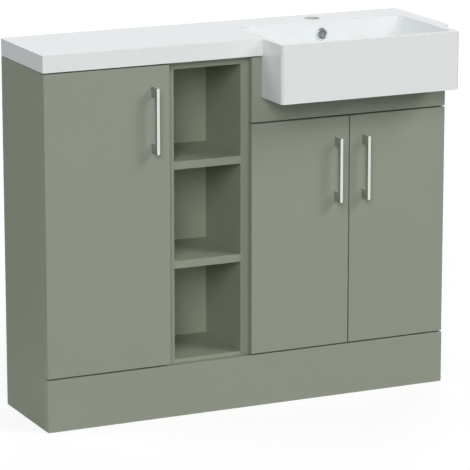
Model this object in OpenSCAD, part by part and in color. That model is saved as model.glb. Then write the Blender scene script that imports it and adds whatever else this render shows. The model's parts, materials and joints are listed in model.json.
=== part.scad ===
// Floor-standing basin and storage combination: a tall cupboard, an open unit with three
// compartments and a basin unit with two doors, all under one cast top whose box basin stands
// out in front of the doors. Millimetres. Z is up and the front faces -Y.
// Each piece is drawn from the left end (x = 0), the wall (y = 0, forward is negative) and the
// floor (z = 0), and seat() then moves it so that the origin is under the middle of the whole.

/* [Cabinet] */
// Width of the tall cupboard
cupboard_w = 301; // [280:1:420]
// Width of the open unit
open_w = 201; // [160:1:320]
// Width of the basin unit
basin_w = 498; // [490:1:640]
// Depth of the boards from the wall to their front edges
cabinet_d = 236; // [220:1:300]
// Height of the boards above the floor
cabinet_h = 817; // [780:1:900]
// Thickness of the carcass boards
board_t = 18; // [15:0.5:22]
// Height of the floor of each unit above the top of the plinth
floor_rise = 8; // [5:1:12]
// Thickness of the back panels
back_t = 8; // [4:0.5:10]
// Empty space for pipes between the back panels and the wall
service_d = 38; // [30:1:60]
// Depth of the groove that holds a back panel
groove_d = 6; // [3:0.5:7]
// Play of a back panel in its groove, each side
groove_play = 0.1; // [0.05:0.05:0.3]
// Width of the flat rails
rail_w = 80; // [60:1:100]
// Radius of the wall screws' holes
wall_hole_r = 3; // [2:0.5:4]
// Distance of the wall screws' holes from the side boards
wall_hole_in = 40; // [25:1:60]

/* [Plinth] */
// Height of the plinth
plinth_h = 121; // [90:1:160]
// Side of the square fixing blocks behind the plinth
block_w = 30; // [20:1:40]
// Height of the fixing blocks
block_h = 60; // [40:1:80]

/* [Doors] */
// Thickness of the doors and the fascia
door_t = 18; // [16:0.5:20]
// Space between a closed door and the front edges of the boards
door_gap = 2; // [1.8:0.1:2.5]
// Distance from a unit's outer side to the edge of its door
door_reveal = 0.8; // [0.5:0.1:1.5]
// Gap between the pair of doors
pair_gap = 3; // [2:0.1:4]
// Gap above the plinth and below the fascia
door_clear = 3.5; // [2.5:0.1:5]
// Distance from the top of the boards down to the top of the tall door and of the fascia
door_drop = 2.5; // [1.5:0.1:4]
// Radius of the door bumpers
bumper_r = 4; // [3:0.5:5]
// Space left in front of the closed bumpers
bumper_play = 0.1; // [0.05:0.05:0.3]
// Distance of the bumpers from the edges of their door
bumper_inset = 9; // [7:0.5:12]

/* [Fascia] */
// Height of the fascia
fascia_h = 149; // [140:1:170]
// Clearance between the fascia's notch and the box basin
notch_play = 1.5; // [1:0.1:3]
// Height of the front rail behind the fascia
front_rail_h = 74; // [60:1:76]
// Radius of the spacer pads between the fascia and the boards
pad_r = 6; // [4:0.5:7]

/* [Shelves] */
// Height of one open compartment
bay_h = 211; // [180:1:215]
// Number of adjustable shelves in the tall cupboard
shelf_n = 2; // [1:1:3]
// Distance of the adjustable shelves behind the front edges
shelf_setback = 20; // [10:1:30]
// Side play of an adjustable shelf
shelf_play = 0.5; // [0.3:0.1:1]
// Radius of the shelf pins
shelf_pin_r = 2.5; // [2:0.1:3]
// Length of the pins under the shelf
shelf_pin_out = 8; // [6:0.5:10]
// Depth of the pin holes
shelf_hole_d = 9; // [7:0.5:11]
// Pitch of the pin holes
shelf_pitch = 32; // [25:1:40]
// Distance of the pins from the shelf's front and back edges
shelf_pin_in = 30; // [20:1:50]

/* [Handles] */
// Length of the bar handle
handle_l = 151; // [140:1:200]
// Distance between the handle's screws
handle_hole_c = 128; // [120:1:128]
// Width of the bar
handle_w = 6.5; // [6:0.5:10]
// Depth of the bar
handle_bar_d = 11; // [6:0.5:12]
// Distance that the handle stands out from the door
handle_out = 31.5; // [27:0.5:38]
// Radius of the handle's outer corners
handle_r = 2; // [1:0.5:3]
// Radius of the finger gap's corners
handle_in_r = 4; // [2:0.5:6]
// Distance from the top of a door down to the top of its handle
handle_drop = 45; // [30:0.5:120]
// Distance of the tall door's handle from its free edge
tall_handle_inset = 41; // [33:0.5:60]
// Distance of the low doors' handles from their free edges
low_handle_inset = 34; // [30:0.5:60]
// Radius of the handle screws
screw_r = 2; // [1.5:0.1:2.2]
// Clearance round a handle screw in the door
screw_play = 0.3; // [0.2:0.1:0.5]
// Length of a handle screw inside the leg of the handle
screw_grip = 12; // [8:1:15]

/* [Basin top] */
// Height of the top's outer edge
top_h = 38.5; // [34:0.5:50]
// Thickness of the worktop skin
top_t = 14; // [12:0.5:20]
// Distance that the top passes the sides of the cabinet
top_over_side = 2.5; // [1:0.5:6]
// Distance that the top passes the fronts of the doors
top_over_front = 3; // [1:0.5:8]
// Width of the down-turned edge under the top
edge_w = 20; // [18.5:0.5:24]
// Radius of the top's back corners
top_corner_r = 8; // [3:0.5:12]
// Space between the box basin and the basin unit's side boards, each side
box_play = 6; // [4:0.5:16]
// Distance of the box basin to the right of the middle of its unit
box_shift = 1.5; // [0:0.5:3]
// Distance that the box basin stands out in front of the doors
box_out = 104; // [80:1:140]
// Height of the box basin
box_h = 134; // [120:1:142]
// Radius of the box basin's front corners
box_corner_r = 8; // [3:0.5:10]
// Thickness of the basin's side walls
wall_side = 13; // [11:0.5:18]
// Thickness of the basin's front wall
wall_front = 15; // [12:0.5:20]
// Thickness of the basin's back wall
wall_back = 12; // [10:0.5:16]
// Thickness of the basin's floor at its rim
floor_t = 18; // [16:0.5:24]
// Distance from the wall to the inside of the basin
deck_d = 102; // [95:1:110]
// Inward lean of the bowl's front and sides from rim to floor
bowl_draft = 6; // [2:0.5:10]
// Radius of the bowl's upright inner corners
bowl_corner_r = 14; // [8:0.5:24]
// Radius between the bowl's walls and its floor
bowl_floor_r = 16; // [10:0.5:24]
// Fall of the bowl's floor towards the waste
bowl_fall = 5; // [3:0.5:8]
// Width of the seal between the boards and the top
bead_w = 8; // [5:0.5:12]
// Thickness of the seal
bead_t = 1; // [0.5:0.1:2]

/* [Tap, waste and overflow] */
// Radius of the tap hole
tap_r = 17.5; // [16:0.5:18]
// Distance of the tap hole from the wall
tap_y = 50; // [44:1:56]
// Distance of the tap hole and the overflow to the right of the basin's middle
tap_shift = 3.5; // [0:0.5:8]
// Radius of the waste hole
waste_r = 22.5; // [20:0.5:23]
// Radius of the waste's flat seat in the floor
waste_seat_r = 34; // [31:0.5:38]
// Distance of the waste hole from the wall
waste_y = 215; // [190:1:240]
// Radius of the overflow hole
overflow_r = 12; // [10:0.5:13]
// Outer radius of the overflow ring
ring_r = 15; // [14:0.5:18]
// Inner radius of the overflow ring
ring_bore_r = 9.5; // [7:0.5:9.5]
// Distance that the ring stands out from the bowl's back wall
ring_out = 4; // [2:0.5:6]
// Distance from the rim down to the middle of the overflow
overflow_drop = 29.5; // [24:0.5:40]
// Radial play of the ring's sleeve, and of a screw in the part that it grips
ring_play = 0.05; // [0.02:0.01:0.1]

/* [Hinges] */
// Distance of a hinge from the top or the bottom of its door
hinge_inset = 90; // [60:1:120]
// Distance of the hinge cup's middle from the edge of the door
cup_inset = 22.5; // [21:0.5:24]
// Radius of the hinge cup
cup_r = 17.5; // [17.5:0.1:17.5]
// Depth of the hinge cup in the door
cup_d = 11.5; // [10.5:0.1:12]
// Clearance of the cup in its bore
cup_play = 0.1; // [0.05:0.05:0.2]
// Distance between a cup's two screws
cup_screw_c = 48; // [45:1:52]
// Distance of the mounting plate's screws behind the front edge of the side
plate_y = 37; // [32:1:40]
// Distance between the mounting plate's screws
plate_screw_c = 32; // [32:1:36]
// Distance of the door's turning axis from the outer side of the unit
axis_x = 6.5; // [6:0.1:7]
// Distance of the door's turning axis in front of the boards
axis_y = 13.5; // [13:0.1:14]
// Thickness of a hinge's mounting plate
plate_t = 2.5; // [2:0.1:3]
// Width of the mounting plate's pad and of its cross wings
plate_w = 12; // [10:0.5:14]
// Length of the mounting plate's pad
plate_l = 32; // [28:1:36]
// Height of the hinge arm above its mounting plate
arm_h = 8; // [7:0.5:10]
// Width of the hinge arm
arm_w = 14; // [12:0.5:16]
// Distance of the arm's back end behind the front edge of the side
arm_l = 62; // [56:1:70]
// Thickness of the hinge's sheet metal
sheet_t = 1.2; // [1:0.1:1.5]
// Play between the hinge's parts that slide into each other
hinge_play = 0.3; // [0.2:0.05:0.4]
// Distance of the link pin from the outer side of the unit
link_x = 37; // [35:0.5:39]
// Distance of the link pin behind the front edge of the side
link_y = 5; // [4:0.5:6]
// Distance between the link's two round ends
link_l = 28; // [25:0.5:28]
// Angle of the link when its door is closed
link_deg = 208; // [206:1:210]
// Radius of the link's round ends
link_r = 2.2; // [2:0.1:2.2]
// Radius of the hinge's link pin
pin_r = 1.5; // [1.2:0.1:1.6]
// Running clearance of a link on its pin
pin_play = 0.06; // [0.03:0.01:0.1]

/* [Hidden] */
$fn = 48;
eps = 0.01;

// Places along the width
x1 = cupboard_w;
x2 = x1 + open_w;
x3 = x2 + basin_w;
basin_cx = x2 + basin_w / 2 + box_shift;
box_w = basin_w - 2 * board_t - 2 * box_play;
box_x0 = basin_cx - box_w / 2;
box_x1 = box_x0 + box_w;
// Places from the wall to the front
front_y = -cabinet_d;
door_back_y = front_y - door_gap;
door_front_y = door_back_y - door_t;
box_front_y = door_front_y - box_out;
top_front_y = door_front_y - top_over_front;
back_y1 = -service_d;
back_y0 = back_y1 - back_t;
deck_y = -deck_d;
total_d = -box_front_y;
// Heights
floor_z1 = plinth_h + floor_rise;
floor_z0 = floor_z1 - board_t;
top_z0 = cabinet_h + bead_t;
rim_z = top_z0 + top_h;
skin_z = rim_z - top_t;
box_z = rim_z - box_h;
bowl_z = box_z + floor_t;
door_z0 = plinth_h + door_clear;
tall_z1 = cabinet_h - door_drop;
fascia_z0 = tall_z1 - fascia_h;
low_z1 = fascia_z0 - door_clear;
tall_handle_z = tall_z1 - handle_drop - handle_l / 2;
low_handle_z = low_z1 - handle_drop - handle_l / 2;
front_rail_z1 = box_z - notch_play - pad_r;
front_rail_z0 = front_rail_z1 - front_rail_h;
upper_shelf_z = cabinet_h - board_t - bay_h - board_t;
lower_shelf_z = upper_shelf_z - bay_h - board_t;
// Doors: left edge and right edge of each
tall_x = [door_reveal, x1 - door_reveal];
pair_x = x2 + basin_w / 2;
left_x = [x2 + door_reveal, pair_x - pair_gap / 2];
right_x = [pair_x + pair_gap / 2, x3 - door_reveal];
// Hinge sizes that the hinge's own parts share
arm_x0 = board_t + plate_t + hinge_play;
arm_x1 = arm_x0 + arm_h;
saddle_x1 = arm_x1 - sheet_t - hinge_play;
link_half = arm_w / 2 - sheet_t - hinge_play;
nose_x = link_x + link_r + 1.5 * sheet_t;
nose_y = link_y + link_r + sheet_t / 2;
cup_lip = 2 / 3 * sheet_t;
head_t = 0.7;

module seat() translate([-x3 / 2, total_d / 2, 0]) children();

module board(x, y, z) translate([x[0], y[0], z[0]]) cube([x[1] - x[0], y[1] - y[0], z[1] - z[0]]);

// Rectangle with its four corners rounded
module round_rect(w, h, r) {
    translate([r, 0]) square([w - 2 * r, h]);
    translate([0, r]) square([w, h - 2 * r]);
    for (x = [r, w - r], y = [r, h - r]) translate([x, y]) circle(r);
}

module along_y(p, r, l) translate(p) rotate([90, 0, 0]) cylinder(r = r, h = l);

// Space of a back panel's groove, cut across the boards between two side boards
module back_groove(xa, xb, z0, z1)
    board([xa + board_t - groove_d, xb - board_t + groove_d],
          [back_y0 - groove_play, back_y1 + groove_play], [z0, z1]);

// ---- Boards -------------------------------------------------------------------------------

// Side board that stands on the floor, with a groove on its inner side
module side(xa, inner, groove_z1) difference() {
    board([xa, xa + board_t], [front_y, 0], [0, cabinet_h]);
    gx = inner > 0 ? xa + board_t - groove_d : xa - eps;
    board([gx, gx + groove_d + eps], [back_y0 - groove_play, back_y1 + groove_play],
          [floor_z1 - groove_d, groove_z1]);
}

// Floor, shelf or top board between two sides
module level(xa, xb, z, depth = [0, 0])
    board([xa + board_t, xb - board_t], [front_y + depth[0], depth[1]], [z, z + board_t]);

module back_panel(xa, xb, z1)
    board([xa + board_t - groove_d + groove_play, xb - board_t + groove_d - groove_play],
          [back_y0, back_y1], [floor_z1 - groove_d + groove_play, z1]);

// Upright rail against the wall, with two screw holes
module wall_rail(xa, xb, z1, holes) difference() {
    board([xa + board_t, xb - board_t], [-board_t, 0], [z1 - rail_w, z1]);
    for (x = holes) along_y([x, eps, z1 - rail_w / 2], wall_hole_r, board_t + 2 * eps);
}

module plinth() color("#6f7566") seat()
    board([0, x3], [door_front_y, front_y], [0, plinth_h]);

module plinth_blocks() color("#c9a878") seat()
    for (x = [board_t, x1 - board_t - block_w, x2 + board_t, x3 - board_t - block_w])
        board([x, x + block_w], [front_y, front_y + block_w], [0, block_h]);

// Pin holes for the adjustable shelves, three heights at each shelf, near its front and back
shelf_room = cabinet_h - board_t - floor_z1;
shelf_zs = [for (i = [1 : shelf_n]) floor_z1 + i * (shelf_room + board_t) / (shelf_n + 1) - board_t];
shelf_y = [front_y + shelf_setback, back_y0 - shelf_play];
shelf_pin_ys = [shelf_y[0] + shelf_pin_in, shelf_y[1] - shelf_pin_in];

module pin_holes(x)
    for (z = shelf_zs, k = [-1 : 1], y = shelf_pin_ys)
        translate([x, y, z - shelf_pin_r + k * shelf_pitch])
            rotate([0, 90, 0]) cylinder(r = shelf_pin_r + groove_play / 2, h = shelf_hole_d + eps);

module cupboard_side_left() color("#7d8473") seat() difference() {
    side(0, 1, cabinet_h + eps);
    pin_holes(board_t - shelf_hole_d);
}

module cupboard_side_right() color("#7d8473") seat() difference() {
    side(x1 - board_t, -1, cabinet_h + eps);
    pin_holes(x1 - board_t - eps);
}

module cupboard_bottom() color("#7d8473") seat() difference() {
    level(0, x1, floor_z0);
    back_groove(0, x1, floor_z1 - groove_d, floor_z1 + eps);
}

module cupboard_back() color("#74796a") seat() back_panel(0, x1, cabinet_h);

module cupboard_rails() color("#7d8473") seat() {
    board([board_t, x1 - board_t], [front_y, front_y + rail_w], [cabinet_h - board_t, cabinet_h]);
    wall_rail(0, x1, cabinet_h, [board_t + wall_hole_in, x1 - board_t - wall_hole_in]);
}

module cupboard_shelves() color("#7d8473") seat()
    for (z = shelf_zs)
        board([board_t + shelf_play, x1 - board_t - shelf_play], shelf_y, [z, z + board_t]);

module shelf_pins() color("silver") seat()
    for (z = shelf_zs, y = shelf_pin_ys, x = [board_t - shelf_hole_d + eps, x1 - board_t - shelf_pin_out])
        translate([x, y, z - shelf_pin_r]) rotate([0, 90, 0])
            cylinder(r = shelf_pin_r, h = shelf_hole_d + shelf_pin_out - eps);

module open_side_left() color("#7d8473") seat() side(x1, 1, cabinet_h - board_t + groove_d);

module open_side_right() color("#7d8473") seat() side(x2 - board_t, -1, cabinet_h - board_t + groove_d);

module open_top() color("#7d8473") seat() difference() {
    level(x1, x2, cabinet_h - board_t);
    back_groove(x1, x2, cabinet_h - board_t - eps, cabinet_h - board_t + groove_d);
}

module open_upper_shelf() color("#7d8473") seat() level(x1, x2, upper_shelf_z, [0, back_y0]);

module open_lower_shelf() color("#7d8473") seat() level(x1, x2, lower_shelf_z, [0, back_y0]);

module open_bottom() color("#7d8473") seat() difference() {
    level(x1, x2, floor_z0);
    back_groove(x1, x2, floor_z1 - groove_d, floor_z1 + eps);
}

module open_back() color("#74796a") seat()
    back_panel(x1, x2, cabinet_h - board_t + groove_d - groove_play);

module open_rail() color("#7d8473") seat()
    wall_rail(x1, x2, cabinet_h - board_t, [x1 + board_t + wall_hole_in, x2 - board_t - wall_hole_in]);

module basin_side_left() color("#7d8473") seat()
    board([x2, x2 + board_t], [front_y, 0], [0, cabinet_h]);

module basin_side_right() color("#7d8473") seat()
    board([x3 - board_t, x3], [front_y, 0], [0, cabinet_h]);

module basin_bottom() color("#7d8473") seat() level(x2, x3, floor_z0);

module basin_front_rail() color("#7d8473") seat()
    board([x2 + board_t, x3 - board_t], [front_y, front_y + board_t], [front_rail_z0, front_rail_z1]);

module basin_rear_rails() color("#7d8473") seat()
    for (z = [cabinet_h, floor_z1 + rail_w])
        wall_rail(x2, x3, z, [x2 + board_t + wall_hole_in, x3 - board_t - wall_hole_in]);

// False front over the doors, cut out in a U for the box basin
module fascia() color("#8b9181") seat() difference() {
    board([x2 + door_reveal, x3 - door_reveal], [door_front_y, door_back_y], [fascia_z0, tall_z1]);
    board([box_x0 - notch_play, box_x1 + notch_play], [door_front_y - eps, door_back_y + eps],
          [box_z - notch_play, tall_z1 + eps]);
}

// Round spacers that hold the fascia in the plane of the doors
module fascia_pads() color("gainsboro") seat() {
    for (x = [x2 + board_t / 2, x3 - board_t / 2], z = [tall_z1 - fascia_h / 5, fascia_z0 + fascia_h / 5])
        along_y([x, front_y, z], pad_r, door_gap);
    for (k = [1 : 3])
        along_y([x2 + k * basin_w / 4, front_y, (fascia_z0 + box_z - notch_play) / 2], pad_r, door_gap);
}

// ---- Cast top with its box basin ----------------------------------------------------------

module top_seal() color("white") seat() {
    for (x = [0, x1 - board_t, x1, x2 - board_t, x2, x3 - board_t])
        translate([x + (board_t - bead_w) / 2, front_y + bead_w, cabinet_h])
            cube([bead_w, cabinet_d - 2 * bead_w, bead_t]);
}

// Outline of the worktop, seen from above
module top_outline() difference() {
    translate([-top_over_side, top_front_y]) square([x3 + 2 * top_over_side, -top_front_y]);
    for (s = [0, 1]) translate([s * x3, 0]) mirror([s, 0])
        translate([-top_over_side, -top_corner_r]) difference() {
            translate([-eps, 0]) square(top_corner_r + eps);
            translate([top_corner_r, 0]) circle(top_corner_r);
        }
}

// Outline of the box basin, with its two front corners rounded
module box_outline() translate([box_x0, box_front_y]) {
    translate([box_corner_r, 0]) square([box_w - 2 * box_corner_r, box_corner_r]);
    translate([0, box_corner_r]) square([box_w, deck_y + wall_back - box_front_y - box_corner_r]);
    for (x = [box_corner_r, box_w - box_corner_r]) translate([x, box_corner_r]) circle(box_corner_r);
}

bowl_x = [box_x0 + wall_side, box_x1 - wall_side];
bowl_y = [box_front_y + wall_front, deck_y];
tap_x = basin_cx + tap_shift;

// Inside of the bowl: upright corners above, a rounded foot, and a flat that falls to the waste
module bowl_space() {
    hull() {
        for (x = [bowl_x[0] + bowl_corner_r, bowl_x[1] - bowl_corner_r],
             y = [bowl_y[0] + bowl_corner_r, bowl_y[1] - bowl_corner_r])
            translate([x, y, rim_z]) cylinder(r = bowl_corner_r, h = 1, $fn = 32);
        for (x = [bowl_x[0] + bowl_draft + bowl_floor_r, bowl_x[1] - bowl_draft - bowl_floor_r],
             y = [bowl_y[0] + bowl_draft + bowl_floor_r, bowl_y[1] - bowl_floor_r])
            translate([x, y, bowl_z + bowl_floor_r]) sphere(bowl_floor_r / cos(90 / 16), $fn = 32);
    }
    hull() {
        inset = bowl_draft + 2 * bowl_floor_r;
        board([bowl_x[0] + inset, bowl_x[1] - inset], [bowl_y[0] + inset, bowl_y[1] - 2 * bowl_floor_r],
              [bowl_z - eps, bowl_z + 1 - eps]);
        translate([basin_cx, -waste_y, bowl_z - bowl_fall]) cylinder(r = waste_seat_r, h = 1, $fn = 48);
    }
}

// Hollow under the worktop between the down-turned edges and the ribs over the partitions
module under_pocket(xa, xb, ya)
    board([xa, xb], [ya, -edge_w], [top_z0 - eps, skin_z]);

module basin_top() color("white") seat() difference() {
    union() {
        translate([0, 0, top_z0]) linear_extrude(top_h) top_outline();
        translate([0, 0, box_z]) linear_extrude(box_h) box_outline();
    }
    bowl_space();
    under_pocket(-top_over_side + edge_w, x1 - board_t, top_front_y + edge_w);
    under_pocket(x1 + board_t, x2 - board_t, top_front_y + edge_w);
    under_pocket(x2 + board_t, x3 + top_over_side - edge_w, deck_y + wall_back);
    translate([tap_x, -tap_y, skin_z - eps]) cylinder(r = tap_r, h = top_t + 2 * eps, $fn = 96);
    translate([basin_cx, -waste_y, box_z - eps]) cylinder(r = waste_r, h = floor_t, $fn = 96);
    along_y([tap_x, deck_y + wall_back + eps, rim_z - overflow_drop], overflow_r, wall_back + ring_out);
}

// Ring with a rounded nose and a sleeve through the bowl's back wall
module overflow_ring() color("silver") seat()
    translate([tap_x, deck_y, rim_z - overflow_drop]) rotate([90, 0, 0]) rotate_extrude($fn = 64) {
        nose_r = (ring_r - ring_bore_r) / 2;
        translate([ring_bore_r, 0]) square([2 * nose_r, ring_out - nose_r]);
        intersection() {
            translate([ring_bore_r + nose_r, ring_out - nose_r]) circle(nose_r, $fn = 32);
            translate([ring_bore_r, 0]) square([2 * nose_r, ring_out]);
        }
        translate([ring_bore_r, -wall_back]) square([overflow_r - ring_play - ring_bore_r, wall_back + eps]);
    }

// ---- Doors --------------------------------------------------------------------------------
// side = 1: hinged on the left; side = -1: hinged on the right. ex is the unit's outer side.

function hinge_zs(z1) = [door_z0 + hinge_inset, z1 - hinge_inset];

// Places a hinge part drawn from the front outer corner of the unit's side board
module at_hinge(ex, side, z) translate([ex, front_y, z]) mirror([side < 0 ? 1 : 0, 0, 0]) children();

function cup_x() = door_reveal + cup_inset;

module door(x, z1, side, ex, hx, hz) difference() {
    board(x, [door_front_y, door_back_y], [door_z0, z1]);
    for (z = hinge_zs(z1)) at_hinge(ex, side, z)
        along_y([cup_x(), -door_gap + eps, 0], cup_r + cup_play, cup_d + 0.5 + eps);
    for (k = [-1, 1])
        along_y([hx, door_back_y + eps, hz + k * handle_hole_c / 2], screw_r + screw_play, door_t + 2 * eps);
}

// Bar handle on two legs, drawn as a side view and extruded to the width of the bar
module bar_handle(hx, hz) {
    leg = handle_l - handle_hole_c;
    gap = handle_hole_c - leg;
    translate([hx - handle_w / 2, door_front_y, hz]) difference() {
        rotate([90, 0, 90]) linear_extrude(handle_w) difference() {
            union() {
                translate([-handle_out, -handle_l / 2]) round_rect(handle_out, handle_l, handle_r);
                translate([-handle_out / 2, -handle_l / 2]) square([handle_out / 2, handle_l]);
            }
            translate([-handle_out + handle_bar_d, -gap / 2]) round_rect(2 * handle_out, gap, handle_in_r);
        }
        for (k = [-1, 1])
            along_y([handle_w / 2, eps, k * handle_hole_c / 2], screw_r + ring_play, screw_grip + screw_r);
    }
}

// Pan-head screws that hold a handle through its door
module handle_screws(hx, hz)
    for (k = [-1, 1]) {
        along_y([hx, door_back_y, hz + k * handle_hole_c / 2], screw_r, door_t + screw_grip);
        along_y([hx, door_back_y + 0.8 * screw_r, hz + k * handle_hole_c / 2], 2 * screw_r, 0.8 * screw_r);
    }

// Hinge cup: a flanged can with an open mouth and two wings
module hinge_cup() {
    translate([cup_x(), -door_gap, 0]) difference() {
        union() {
            along_y([0, 0, 0], cup_r, cup_d);
            along_y([0, cup_lip, 0], cup_r + 1, cup_lip);
            translate([-plate_w / 2, 0, -cup_screw_c / 2 - 0.4 * plate_w])
                cube([plate_w, cup_lip, cup_screw_c + 0.8 * plate_w]);
        }
        along_y([0, cup_lip + eps, 0], cup_r - sheet_t, cup_d + cup_lip - sheet_t);
        for (k = [-1, 1])
            along_y([0, cup_lip + eps, k * cup_screw_c / 2], screw_r + ring_play, cup_lip + 2 * eps);
    }
}

module cup_screws_at() translate([cup_x(), -door_gap, 0]) for (k = [-1, 1]) {
    along_y([0, cup_lip + head_t, k * cup_screw_c / 2], 1.75 * screw_r, head_t);
    along_y([0, cup_lip, k * cup_screw_c / 2], screw_r, cup_lip);
}

module bumpers(xs, z)
    for (x = xs) along_y([x, front_y - bumper_play, z], bumper_r, door_gap - bumper_play);

// ---- Hinge parts on the boards ------------------------------------------------------------

// Cross-shaped mounting plate with a raised saddle for the arm
module hinge_plate() difference() {
    union() {
        board([board_t, board_t + plate_t], [plate_y - plate_l * 0.45, plate_y + plate_l * 0.6],
              [-plate_w * 0.75, plate_w * 0.75]);
        board([board_t, board_t + plate_t], [plate_y - plate_w / 2, plate_y + plate_w / 2],
              [-plate_screw_c / 2 - plate_w * 0.6, plate_screw_c / 2 + plate_w * 0.6]);
        board([board_t, saddle_x1], [plate_y - plate_l * 0.3, plate_y + plate_l / 2],
              [-link_half + 2 * hinge_play, link_half - 2 * hinge_play]);
    }
    for (k = [-1, 1]) translate([board_t - eps, plate_y, k * plate_screw_c / 2])
        rotate([0, 90, 0]) cylinder(r = screw_r + screw_play, h = plate_t + 2 * eps);
}

module plate_screw_pair() for (k = [-1, 1])
    translate([board_t, plate_y, k * plate_screw_c / 2]) rotate([0, 90, 0]) {
        cylinder(r = screw_r + screw_play / 2, h = plate_t);
        translate([0, 0, plate_t]) cylinder(r = 2 * screw_r, h = 0.9 * screw_r);
    }

// Sheet arm: a channel over the saddle whose cheeks reach forward to the link pin
module hinge_arm() {
    bend_y = nose_y + nose_x - arm_x1 - 2 * sheet_t;
    cheek = [[arm_x0, arm_l], [arm_x1, arm_l], [arm_x1, bend_y], [nose_x, nose_y],
             [nose_x, 0], [board_t + plate_w / 2, 0], [arm_x0, nose_y / 2]];
    web = [[arm_x1 - sheet_t, arm_l], [arm_x1, arm_l], [arm_x1, bend_y], [nose_x, nose_y],
           [nose_x - sheet_t, nose_y], [arm_x1 - sheet_t, bend_y - sheet_t / 2]];
    for (z = [-arm_w / 2, arm_w / 2 - sheet_t]) translate([0, 0, z]) linear_extrude(sheet_t) polygon(cheek);
    translate([0, 0, -arm_w / 2]) linear_extrude(arm_w) polygon(web);
    translate([link_x, link_y, -arm_w / 2]) cylinder(r = pin_r, h = arm_w);
    translate([saddle_x1, plate_y + plate_l / 4, 0]) rotate([0, 90, 0]) cylinder(r = plate_w / 4, h = 2 * sheet_t);
}

// Link that turns on the arm's pin and reaches into the cup
module hinge_link()
    translate([link_x, link_y, -link_half]) rotate(link_deg) difference() {
        union() {
            cylinder(r = link_r, h = 2 * link_half);
            translate([0, -link_r * 0.75, 0]) cube([link_l, link_r * 1.5, 2 * link_half]);
            translate([link_l, 0, 0]) cylinder(r = link_r, h = 2 * link_half);
        }
        translate([0, 0, -eps]) cylinder(r = pin_r + pin_play, h = 2 * link_half + 2 * eps);
    }

module each_hinge() {
    for (z = hinge_zs(tall_z1)) at_hinge(0, 1, z) children();
    for (z = hinge_zs(low_z1)) { at_hinge(x2, 1, z) children(); at_hinge(x3, -1, z) children(); }
}

module hinge_plates() color("silver") seat() each_hinge() hinge_plate();
module hinge_arms() color("silver") seat() each_hinge() hinge_arm();
module plate_screws() color("dimgray") seat() each_hinge() plate_screw_pair();

// ---- The three doors' own pieces ----------------------------------------------------------

tall_hx = tall_x[1] - tall_handle_inset;
left_hx = left_x[1] - low_handle_inset;
right_hx = right_x[0] + low_handle_inset;

module tall_door() color("#8b9181") seat() door(tall_x, tall_z1, 1, 0, tall_hx, tall_handle_z);
module tall_handle() color("silver") seat() bar_handle(tall_hx, tall_handle_z);
module tall_handle_screws() color("silver") seat() handle_screws(tall_hx, tall_handle_z);
module tall_cups() color("silver") seat() for (z = hinge_zs(tall_z1)) at_hinge(0, 1, z) hinge_cup();
module tall_cup_screws() color("dimgray") seat()
    for (z = hinge_zs(tall_z1)) at_hinge(0, 1, z) cup_screws_at();
module tall_bumpers() color("gainsboro") seat() {
    bumpers([tall_x[1] - bumper_inset], tall_z1 - bumper_inset);
    bumpers([tall_x[1] - bumper_inset], door_z0 + 3 * bumper_inset);
}
module tall_links() color("silver") seat() for (z = hinge_zs(tall_z1)) at_hinge(0, 1, z) hinge_link();

module left_door() color("#8b9181") seat() door(left_x, low_z1, 1, x2, left_hx, low_handle_z);
module left_handle() color("silver") seat() bar_handle(left_hx, low_handle_z);
module left_handle_screws() color("silver") seat() handle_screws(left_hx, low_handle_z);
module left_cups() color("silver") seat() for (z = hinge_zs(low_z1)) at_hinge(x2, 1, z) hinge_cup();
module left_cup_screws() color("dimgray") seat()
    for (z = hinge_zs(low_z1)) at_hinge(x2, 1, z) cup_screws_at();
module left_bumpers() color("gainsboro") seat()
    bumpers([left_x[1] - bumper_inset, left_x[1] - 12 * bumper_inset], low_z1 - bumper_inset);
module left_links() color("silver") seat() for (z = hinge_zs(low_z1)) at_hinge(x2, 1, z) hinge_link();

module right_door() color("#8b9181") seat() door(right_x, low_z1, -1, x3, right_hx, low_handle_z);
module right_handle() color("silver") seat() bar_handle(right_hx, low_handle_z);
module right_handle_screws() color("silver") seat() handle_screws(right_hx, low_handle_z);
module right_cups() color("silver") seat() for (z = hinge_zs(low_z1)) at_hinge(x3, -1, z) hinge_cup();
module right_cup_screws() color("dimgray") seat()
    for (z = hinge_zs(low_z1)) at_hinge(x3, -1, z) cup_screws_at();
module right_bumpers() color("gainsboro") seat()
    bumpers([right_x[0] + bumper_inset, right_x[0] + 12 * bumper_inset], low_z1 - bumper_inset);
module right_links() color("silver") seat() for (z = hinge_zs(low_z1)) at_hinge(x3, -1, z) hinge_link();

plinth();
plinth_blocks();
cupboard_side_left();
cupboard_side_right();
cupboard_bottom();
cupboard_back();
cupboard_rails();
cupboard_shelves();
shelf_pins();
open_side_left();
open_side_right();
open_top();
open_upper_shelf();
open_lower_shelf();
open_bottom();
open_back();
open_rail();
basin_side_left();
basin_side_right();
basin_bottom();
basin_front_rail();
basin_rear_rails();
fascia();
fascia_pads();
top_seal();
basin_top();
overflow_ring();
hinge_plates();
hinge_arms();
plate_screws();
tall_door();
tall_handle();
tall_handle_screws();
tall_cups();
tall_cup_screws();
tall_bumpers();
tall_links();
left_door();
left_handle();
left_handle_screws();
left_cups();
left_cup_screws();
left_bumpers();
left_links();
right_door();
right_handle();
right_handle_screws();
right_cups();
right_cup_screws();
right_bumpers();
right_links();
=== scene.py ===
"""Basin and storage combination: its finishes and fine forms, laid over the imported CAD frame.

All lengths are in metres in the frame's own axes: X runs along the front from left to right, Y runs
towards the wall and Z runs up from the floor.
"""

from __future__ import annotations

import json
import logging
import math
from collections.abc import Callable, Iterable, Sequence
from dataclasses import dataclass, field
from enum import Enum
from functools import cached_property

import bmesh
import bpy
from mathutils import Matrix, Vector


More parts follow.
